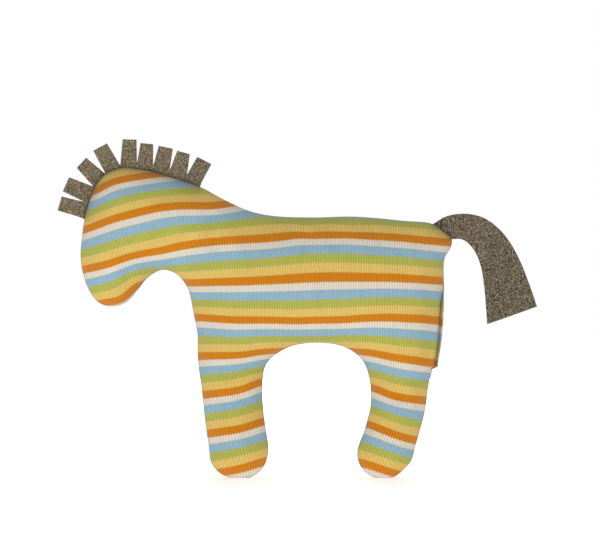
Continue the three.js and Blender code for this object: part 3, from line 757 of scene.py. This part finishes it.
def felt_fibres_group():
    """Matted wool: light and dark fibres crossing a middle tone, and their height."""
    inputs = {"Place": "", "Fibre Width": 0.0003, "Dark": shade(58, 48, 40), "Middle": shade(104, 91, 75),
              "Light": shade(162, 148, 127)}
    group, given, made = new_group("felt_fibres", inputs, {"Color": "Color", "Height": "Float"})
    scale = sum_of(group, "DIVIDE", 1.0, given["Fibre Width"])
    values = {"Vector": given["Place"], "Scale": WANDER_SCALE, "Detail": 1.0}
    wander = place(group, "TexNoise", values).outputs["Color"]
    field = -1.0
    for angle in FIBRE_DIRECTIONS:
        values = {"Vector": given["Place"], "Rotation": (0, math.radians(angle), 0), "Scale": FIBRE_STRETCH}
        run = place(group, "Mapping", values).outputs[0]
        run = place(group, "MixRGB", {"Fac": WANDER, "Color1": run, "Color2": wander}).outputs[0]
        field = sum_of(group, "ADD", field, noise_of(group, run, scale, detail=1.0))
    patches = noise_of(group, given["Place"], times(group, scale, PATCH_SCALE))
    field = sum_of(group, "SUBTRACT", field, PATCH_SWING / 2)
    field = sum_of(group, "MULTIPLY_ADD", patches, PATCH_SWING, field)
    colour = given["Dark"]
    for low, high, name in FELT_STEPS:
        colour = mixed(group, ramp(group, field, low, high), colour, given[name])
    set_inputs(group, made, {"Color": colour, "Height": field})
    return group


FELT_FIBRES = felt_fibres_group()


def felt_material(name, dark, middle, light):
    material, tree, shader, _ = new_material(name)
    where = place(tree, "Attribute", attribute_name="cut_at").outputs["Vector"]
    felt = use_group(tree, FELT_FIBRES, {"Place": where, "Dark": dark, "Middle": middle, "Light": light})
    # Painted shade where the felt goes into the seam, mixed towards near black
    crease = times(tree, kept_value(tree, "crease"), FELT_CREASE_SHADE)
    colour = mixed(tree, crease, felt["Color"], shade(34, 28, 22))
    set_inputs(tree, shader, {"Base Color": colour, "Normal": raised(tree, felt["Height"], 0.7, 0.6),
                              "Roughness": 1.0, "Sheen Weight": 0.2, "Specular IOR Level": 0.1})
    return material


def fibre_material(name, colour, fibre_size, patches, fibres, depth):
    """A one-colour fibre finish, for stuffing and thread."""
    material, tree, shader, where = new_material(name)
    values = {"Place": where, "Fibre Size": fibre_size, "Patches": patches, "Fibres": fibres}
    tone = use_group(tree, FIBRE_TONE, values)
    colour = mixed(tree, 1.0, colour, tone["Tone"], "MULTIPLY")
    normal = raised(tree, tone["Height"], 0.6, depth)
    set_inputs(tree, shader, {"Base Color": colour, "Normal": normal, "Roughness": 0.9})
    return material


GLOSS_SWING = 0.2
SPECKS_IN_A_CLOUD = 6


def plastic_material(name, colour, roughness, speck_size):
    """Moulded plastic, slightly cloudy in colour and uneven in gloss."""
    material, tree, shader, where = new_material(name)
    values = {"Place": where, "Patch Size": speck_size * SPECKS_IN_A_CLOUD, "Fibre Size": speck_size}
    tone = use_group(tree, FIBRE_TONE, {**values, "Patches": 0.05, "Fibres": 0.05})
    colour = mixed(tree, 1.0, colour, tone["Tone"], "MULTIPLY")
    gloss = sum_of(tree, "MULTIPLY_ADD", tone["Height"], GLOSS_SWING, roughness - GLOSS_SWING / 2)
    normal = raised(tree, tone["Height"], 0.2, 0.05)
    set_inputs(tree, shader, {"Base Color": colour, "Normal": normal, "Roughness": gloss})
    return material


# The stuffed panels

SIM_SCALE = 10.0
SIM_FRAMES = 20
CLOTH_SETTINGS = {
    "quality": 5, "mass": 0.3, "tension_stiffness": 15, "compression_stiffness": 15, "shear_stiffness": 5,
    "bending_stiffness": 0.6, "use_pressure": True, "uniform_pressure_force": 4, "shrink_min": -0.03,
    "vertex_group_mass": "held",
}
UNEVENNESS, LUMP_SIZE = 0.25, 11
MOST_SWELL, LEAST_SWELL = 1.6, 1e-6
# How much of its movement a point keeps along the panel, out of it and up it
SWELL_SHARES = (0.3, 1, 0.3)


def stuffed(places, faces, held, seed):
    """A panel pressed out by its stuffing in a short cloth simulation, with its seam held."""
    start = places.copy()
    start[:, 1] += (1 - held) * UNEVENNESS * drifting(places, LUMP_SIZE, seed)
    trial = new_mesh("stuffing_trial", start * SIM_SCALE, faces)
    pins = trial.vertex_groups.new(name="held")
    for i in np.flatnonzero(held > 0):
        pins.add([int(i)], float(held[i]), "REPLACE")
    cloth = trial.modifiers.new("cloth", "CLOTH")
    for name, value in CLOTH_SETTINGS.items():
        setattr(cloth.settings, name, value)
    cloth.settings.effector_weights.gravity = 0
    cloth.point_cache.frame_start, cloth.point_cache.frame_end = 1, SIM_FRAMES
    for step in range(1, SIM_FRAMES + 1):
        bpy.context.scene.frame_set(step)
    made = trial.evaluated_get(bpy.context.evaluated_depsgraph_get()).data
    after = np.array([v.co for v in made.vertices]) / MM / SIM_SCALE
    bpy.data.objects.remove(trial)
    bpy.context.scene.frame_set(1)
    moved = (after - places) * SWELL_SHARES
    size = np.linalg.norm(moved, axis=1)
    return places + moved * (np.minimum(size, MOST_SWELL) / np.maximum(size, LEAST_SWELL))[:, None]


SEAM_TURN = math.radians(27)
TURN_TOP, TURN_FULL = 93, 79
CLOSING_END = 51
TURN_REACH = math.radians(80)
TURN_RADIUS = 15.0
BULGE, BULGE_REACH = 0.8, 4
TUCK, TUCK_REACH = 2.0, 7
RUMP_FRONT, RUMP_LOW, RUMP_HIGH = 50, 38, 100
on_rump = (profile[:, 0] > RUMP_FRONT) & (profile[:, 1] > RUMP_LOW) & (profile[:, 1] < RUMP_HIGH)
rump_line = profile[on_rump][np.argsort(profile[on_rump][:, 1])]


def turned_seam(places):
    """The closing seam down the rump, rolled round towards the front."""
    rim_x = np.interp(places[:, 2], rump_line[:, 1], rump_line[:, 0])
    away = places[:, 0] - (rim_x - TURN_RADIUS)
    angle = np.arctan2(places[:, 1], away)
    near = np.clip(1 - (angle / TURN_REACH) ** 2, 0, 1) ** 2 * (away > 0)
    fade = eased(places[:, 2], TURN_TOP, TURN_FULL)
    share = near * fade * eased(places[:, 2], CLOSING_END - 1, CLOSING_END + 1)
    above = places[:, 2] - CLOSING_END
    bulge = BULGE * np.exp(-np.abs(above) / BULGE_REACH) * (above >= 0)
    tuck = TUCK * np.exp(-np.abs(above) / TUCK_REACH) * (above < 0)
    radius = np.hypot(away, places[:, 1]) + near * (bulge - tuck)
    angle = angle - SEAM_TURN * share
    moved = places.copy()
    moved[:, 0] += radius * np.cos(angle) - away
    moved[:, 1] = radius * np.sin(angle)
    return moved


# Painted shade on the knit's seam: full on the turned-in rows, this share on the rim
RIM_CREASE_SHADE = 0.5
# Painted shade on the knit beside the felt: how dark, and how far from it
SHADE_BESIDE_FELT = ((0.6, 1.5), (0.2, 5), (0.15, 14))


def knit_creases():
    """Painted shade at each point of the knit, from 0 to 1: by how deep in a seam it lies, and deeper along
    the felt.
    """
    rows = np.arange(len(points))
    crease = np.where(rows >= len(flat), 1.0, np.where(rows < len(rim), RIM_CREASE_SHADE, 0.0))
    apart = np.linalg.norm(flat[:, None] - rim[None], axis=2)
    felt_near, apart = held_by_felt()[np.argmin(apart, axis=1)], np.min(apart, axis=1)
    shaded = sum(depth * (1 - eased(apart, 0, reach)) for depth, reach in SHADE_BESIDE_FELT)
    crease[:len(flat)] = np.maximum(crease[:len(flat)], felt_near * shaded)
    return crease


# The painted rib shade goes deeper down the legs and softer towards the head, over these spans
LEG_DEEPENING, HEAD_SOFTENING = 0.1, 0.17
SOFT_SPAN = (-75, -20)


def rib_valley_shade(places):
    """How strong the painted shade between the ribs is: deeper down the legs, softer towards the head."""
    legs = 1 - eased(places[:, 2], *LEG_SPAN)
    head = 1 - eased(places[:, 0], *SOFT_SPAN)
    return RIB_SHADE_DEPTH + LEG_DEEPENING * legs - HEAD_SOFTENING * head


SEWN_SPAN = (1.5, 6)
KNIT_THICKNESS = 0.9


def panel_piece(name, side, node, material, seed):
    """One knitted panel: side is -1 towards the camera and 1 away from it."""
    sewn = np.ones(len(points))
    sewn[:len(flat)] = 1 - eased(distance_to(profile, flat), *SEWN_SPAN)
    places = stuffed(points, triangles, sewn, seed)
    stripes, ribs = laid_knit(places, triangles)
    places = places * (1, -side, 1)
    faces = triangles if side < 0 else triangles[:, ::-1]
    piece = new_mesh(name, turned_seam(places), faces, material)
    # Painted shade between the ribs and in the seams is kept with the knit's points
    keep_values(piece, course=stripes, wale=ribs, ribbing=rib_valley_shade(places), crease=knit_creases())
    cloth = piece.modifiers.new("cloth", "SOLIDIFY")
    cloth.thickness = KNIT_THICKNESS * MM
    cloth.offset = -1
    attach(piece, "horse")
    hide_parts(node)


BACK_SHIFT = -0.05
points, triangles = shell()
# The soles settle flat on the ground
points[:, 2] = np.maximum(points[:, 2], 0)
panel_piece("front_panel", -1, "front_cover", knit_material("front_rib_knit", 0.0), seed=1.0)
panel_piece("back_panel", 1, "back_cover", knit_material("back_rib_knit", BACK_SHIFT), seed=7.0)

# Felt

FELT_SPACING = 0.9
FELT_LATTICE = 1.2
FELT_EDGE_ROW = 0.5
FELT_ROUNDING, UNROUNDED = 0.22, 0.7
ON_JOIN = 0.02
OPEN_SLIT = 4 * SLIT_WIDTH
SCISSOR_CUT = 0.15
WARP, WARP_SIZE = 0.25, 22
RAGGED, RAGGED_SIZE = 0.07, 1.6
# Span over which the painted shade on the felt fades, from inside the seam line to outside it
SHADED_FELT = (-0.2, 1.3)
SEWN_IN = 3
MANE_FELT = felt_material("mane_felt", shade(80, 69, 54), shade(119, 105, 83), shade(165, 150, 127))
TAIL_FELT = felt_material("tail_felt", shade(55, 46, 37), shade(100, 88, 71), shade(157, 144, 122))


def edged(corners, spacing):
    """A closed outline with points added along its edges, run clockwise."""
    corners = [np.array(corner, float) for corner in corners]
    area = sum(a[0] * b[1] - a[1] * b[0] for a, b in zip(corners, corners[1:] + corners[:1]))
    if area > 0:
        corners = corners[::-1]
    line = []
    for a, b in zip(corners, corners[1:] + corners[:1]):
        steps = max(1, round(math.dist(a, b) / spacing))
        line += [lerp(a, b, k / steps) for k in range(steps)]
    return np.array(line)


def felt_cut(name, felt, corners, joined):
    """A piece cut from felt, its edges softened, but flush along joined, where its neighbour goes on."""
    outline = edged(corners, FELT_SPACING)
    flat_points, faces = flat_mesh(outline, (FELT_EDGE_ROW,), FELT_LATTICE)
    count, half = len(outline), FELT_THICKNESS / 2
    flush = np.zeros(count, bool)
    for a, b in joined:
        flush |= distance_to_side(a, b, outline) < ON_JOIN
    inset = outline - outward_of(outline) * np.where(flush, 0, FELT_ROUNDING)[:, None]
    face = np.vstack([inset, flat_points[count:]])
    upright = half * UNROUNDED
    rows = [(face, -half), (outline, -upright), (outline, 0), (outline, upright), (face, half)]
    starts = np.cumsum([0] + [len(row) for row, _ in rows])
    places = np.vstack([standing(row, across) for row, across in rows])
    polygons = [tuple(f) for f in faces] + [tuple(f[::-1] + starts[4]) for f in faces]
    for low, high in zip(starts[:4], starts[1:5]):
        for i in range(count):
            after = (i + 1) % count
            polygons.append((low + i, low + after, high + after, high + i))
    places[:, 1] += WARP * drifting(places * (1, 0, 1), WARP_SIZE, seed=3.1)
    for axis in range(3):
        places[:, axis] += RAGGED * drifting(places, RAGGED_SIZE, seed=5.7 + axis)
    piece = new_mesh(name, places, polygons, felt)
    cut_at = piece.data.attributes.new("cut_at", "FLOAT_VECTOR", "POINT")
    cut_at.data.foreach_set("vector", (places * MM).ravel())
    side_view = places[:, [0, 2]]
    depth = distance_to(profile, side_view) * np.where(is_inside(profile, side_view), -1, 1)
    # Painted shade on the felt: full inside the seam and fading outside it
    keep_values(piece, crease=1 - eased(depth, *SHADED_FELT))
    for edge in piece.data.edges:
        a, b = (v % starts[4] if v >= starts[4] else v for v in edge.vertices)
        if a < count and b < count and flush[a] and flush[b]:
            edge.use_edge_sharp = True
    return piece


def tab_places():
    """Root, tip and direction of each tab of the mane."""
    tabs = []
    for i, length in enumerate(TAB_LENGTHS):
        at, outward = profile_at(mane_start + i * TAB_PITCH + TAB_NUDGES[i])
        out = turned(outward, TAB_LEANS[i])
        along = np.array([out[1], -out[0]])
        edge = at + out * SLIT_HEIGHTS[i]
        left, right = edge - along * TAB_ROOT_WIDTH / 2, edge + along * TAB_ROOT_WIDTH / 2
        tip = at + out * length
        tips = [tip + along * side * TAB_TIP_WIDTHS[i] / 2 for side in (1, -1)]
        tabs.append({"out": out, "edge": edge, "left": left, "right": right, "tips": tips})
    for tab, after in zip(tabs, tabs[1:]):
        cut = after["left"] - tab["right"]
        width = np.linalg.norm(cut)
        if width < OPEN_SLIT:
            middle, half = (tab["right"] + after["left"]) / 2, cut / width * SCISSOR_CUT / 2
            tab["right"], after["left"] = middle - half, middle + half
    return tabs


def make_mane():
    tabs = tab_places()
    first, last = mane_ends()
    corners = [profile_at(first)[0]]
    for tab in tabs:
        corners += [tab["left"], tab["right"]]
    corners.append(profile_at(last)[0])
    steps = 2 * len(tabs)
    for k in range(steps, -1, -1):
        at, outward = profile_at(lerp(first, last, k / steps))
        corners.append(at - outward * SEWN_IN)
    band = felt_cut("mane_strip", MANE_FELT, corners, [(tab["left"], tab["right"]) for tab in tabs])
    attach(band, "horse")
    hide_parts("mane_band")
    for i, tab in enumerate(tabs, 1):
        root = (tab["left"], tab["right"])
        piece = felt_cut(f"mane_fringe_{i}", MANE_FELT, [*root, *tab["tips"]], [root])
        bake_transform(piece)
        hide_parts(f"mane_tab_{i}")


TAIL_UPPER = [TAIL_SEAM[0], (-2.2, 10.7), (7.2, 11.7), (15.8, 9.2), (24.1, 2), (30.6, -8.6), (35.6, -21),
              (39, -31)]
TAIL_LOWER = [(16.2, -39.1), (14.7, -21.2), (12.7, -10.6), (9.1, -3.6), (4.6, -0.1), TAIL_SEAM[1]]
TAIL_STEPS = 4


def make_tail():
    top, bottom = np.array(TAIL_SEAM)
    seam = (bottom - top) / math.dist(bottom, top)
    inward = np.array([seam[1], -seam[0]]) * SEWN_IN
    upper, lower = (smooth_run(edge, False, TAIL_STEPS) for edge in (TAIL_UPPER, TAIL_LOWER))
    corners = np.array([*upper, *lower, bottom + inward, top + inward]) + TAIL_CORNER
    piece = felt_cut("felt_tail", TAIL_FELT, list(corners), [])
    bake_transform(piece)
    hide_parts("tail_root", "tail_flap")


make_mane()
make_tail()

# Thread, stuffing and rattle

THREAD_DEPTH, THREAD_DIP = 0.95, 0.5
THREAD_RADIUS, STITCH_SWELL = 0.1, 0.14
THREAD_SPACING = 0.5
STITCH_LENGTH = 2.2
STITCH_SQUARENESS = 0.5
THREAD_SIDES = 6


def make_stitching():
    """The seam's thread as one ring of short plump stitches down in the groove."""
    line = evenly(profile, THREAD_SPACING)
    outward = outward_of(line)
    along = np.pi * np.arange(len(line)) * THREAD_SPACING / STITCH_LENGTH
    plump = np.abs(np.sin(along)) ** STITCH_SQUARENESS
    radius = THREAD_RADIUS + STITCH_SWELL * plump
    depth = THREAD_DEPTH + THREAD_DIP * (1 - plump)
    centre = line - outward * depth[:, None]
    centre[:, 1] = np.maximum(centre[:, 1], depth)
    places, faces = [], []
    for k in range(THREAD_SIDES):
        angle = 2 * math.pi * k / THREAD_SIDES
        side = centre + outward * (radius * math.cos(angle))[:, None]
        places.append(standing(side, radius * math.sin(angle)))
    count = len(line)
    for k in range(THREAD_SIDES):
        here, there = k * count, (k + 1) % THREAD_SIDES * count
        for i in range(count):
            after = (i + 1) % count
            faces.append((here + i, there + i, there + after, here + after))
    thread = new_mesh("seam_stitching", turned_seam(np.vstack(places)), faces, THREAD_IN_SHADE)
    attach(thread, "horse")
    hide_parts("seam_thread")


WAD_VOXEL = 2.0
WAD_DEPTH = 1.3
# Share, size and seed of the lumps and of the tufts on them
WAD_TUFTS = ((0.6, 7, 1.3), (0.4, 2.6, 2.9))
MEAN_DEPTH, DEPTH_SWING = 0.55, 0.45


def make_wad(node):
    """One wad of stuffing: the solid of its node, teased into lumps and hollows."""
    wad = new_object("wad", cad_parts[node].data.copy())
    remesh = wad.modifiers.new("even", "REMESH")
    remesh.mode = "VOXEL"
    remesh.voxel_size = WAD_VOXEL * MM
    made = wad.evaluated_get(bpy.context.evaluated_depsgraph_get()).to_mesh()
    places = np.array([v.co for v in made.vertices]) / MM
    normals = np.array([v.normal for v in made.vertices])
    faces = [tuple(p.vertices) for p in made.polygons]
    bpy.data.objects.remove(wad)
    tufts = sum(share * drifting(places, size, seed) for share, size, seed in WAD_TUFTS)
    places -= normals * (WAD_DEPTH * (MEAN_DEPTH + DEPTH_SWING * tufts))[:, None]
    places[:, [0, 2]] = drawn_in(places[:, [0, 2]])
    piece = new_mesh(node.replace("filling", "wad"), places, faces, STUFFING)
    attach(piece, "horse")
    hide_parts(node)


# The thread's colour is darkened from off-white as painted shade of the seam it lies down in
THREAD_IN_SHADE = fibre_material("seam_thread_shaded", shade(160, 143, 112), 0.0002, 0.05, 0.2, 0.05)
STUFFING = fibre_material("white_stuffing", shade(238, 236, 230), 0.0009, 0.04, 0.1, 0.5)
make_stitching()
for node in sorted(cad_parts):
    if node.startswith("filling_"):
        make_wad(node)

SHELL = plastic_material("clouded_shell", shade(224, 230, 235), 0.4, 0.002)
BEADS = plastic_material("orange_beads", shade(214, 136, 40), 0.3, 0.0006)
rattle_looks = {"rattle_cup": SHELL, "rattle_lid": SHELL, **{f"pellet_{k}": BEADS for k in range(1, 6)}}
for node, look in rattle_looks.items():
    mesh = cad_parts[node].data
    mesh.materials.clear()
    mesh.materials.append(look)

# Ground, light and camera

FLOOR_GLOW = 0.48
GLOW_CHANGE, NEAR_CHANGE = 0.25, -0.08
GLOW_NEAR, GLOW_FAR = 0.2, 0.9


def seen_directly(tree):
    """1 where the camera, a reflection or glass looks, and 0 for the light that falls on things."""
    paths = place(tree, "LightPath").outputs
    seen = sum_of(tree, "MAXIMUM", paths["Is Camera Ray"], paths["Is Glossy Ray"])
    return sum_of(tree, "MAXIMUM", seen, paths["Is Transmission Ray"])


def stage_material():
    """White where it is seen directly, with the object's own shadow on it."""
    material, tree, shader, where = new_material("white_ground")
    set_inputs(tree, shader, {"Base Color": (0.93, 0.93, 0.93, 1), "Roughness": 1})
    away = place(tree, "VectorMath", {0: where}, operation="LENGTH").outputs["Value"]
    far = ramp(tree, away, GLOW_NEAR, GLOW_FAR, "LINEAR")
    change = sum_of(tree, "MULTIPLY_ADD", far, GLOW_CHANGE, NEAR_CHANGE)
    strength = sum_of(tree, "MULTIPLY_ADD", seen_directly(tree), change, FLOOR_GLOW)
    glow = place(tree, "Emission", {"Strength": strength})
    blend = place(tree, "AddShader", {0: shader.outputs[0], 1: glow.outputs[0]})
    tree.links.new(blend.outputs[0], tree.nodes["Material Output"].inputs["Surface"])
    return material


def stage_floor():
    half, level = 3000, -0.1
    corners = [(-half, -half, level), (half, -half, level), (half, half, level), (-half, half, level)]
    floor = new_mesh("ground", corners, [(0, 1, 2, 3)], stage_material())


def soft_room(ambient):
    world = bpy.data.worlds.new("studio")
    bpy.context.scene.world = world
    world.use_nodes = True
    tree = world.node_tree
    strength = sum_of(tree, "MAXIMUM", seen_directly(tree), ambient)
    set_inputs(tree, tree.nodes["Background"], {"Color": (1, 1, 1, 1), "Strength": strength})


def soft_box(name, at, size, power, aim=(0, 0, 0.08)):
    light = bpy.data.lights.new(name, "AREA")
    light.shape = "SQUARE"
    light.size = size
    light.energy = power
    lamp = new_object(name, light)
    lamp.location = at
    lamp.rotation_euler = (Vector(aim) - Vector(at)).to_track_quat("-Z", "Y").to_euler()


SENSOR_WIDTH = 36
VIEW_WIDTH = 0.276


def front_camera():
    camera = new_object("camera", bpy.data.cameras.new("camera"))
    distance = VIEW_DISTANCE * MM
    camera.location = (VIEW_CENTRE[0] * MM, -distance, VIEW_CENTRE[1] * MM)
    camera.rotation_euler = (math.pi / 2, 0, 0)
    camera.data.sensor_width = SENSOR_WIDTH
    camera.data.lens = SENSOR_WIDTH * distance / VIEW_WIDTH
    bpy.context.scene.camera = camera


stage_floor()
soft_room(ambient=0.52)
soft_box("key", (-0.3, -1.4, 0.2), size=0.8, power=8.6)
soft_box("rear_fill", (0, 1.4, 0.3), size=0.8, power=9)
front_camera()
bpy.context.scene.view_settings.view_transform = "Standard"
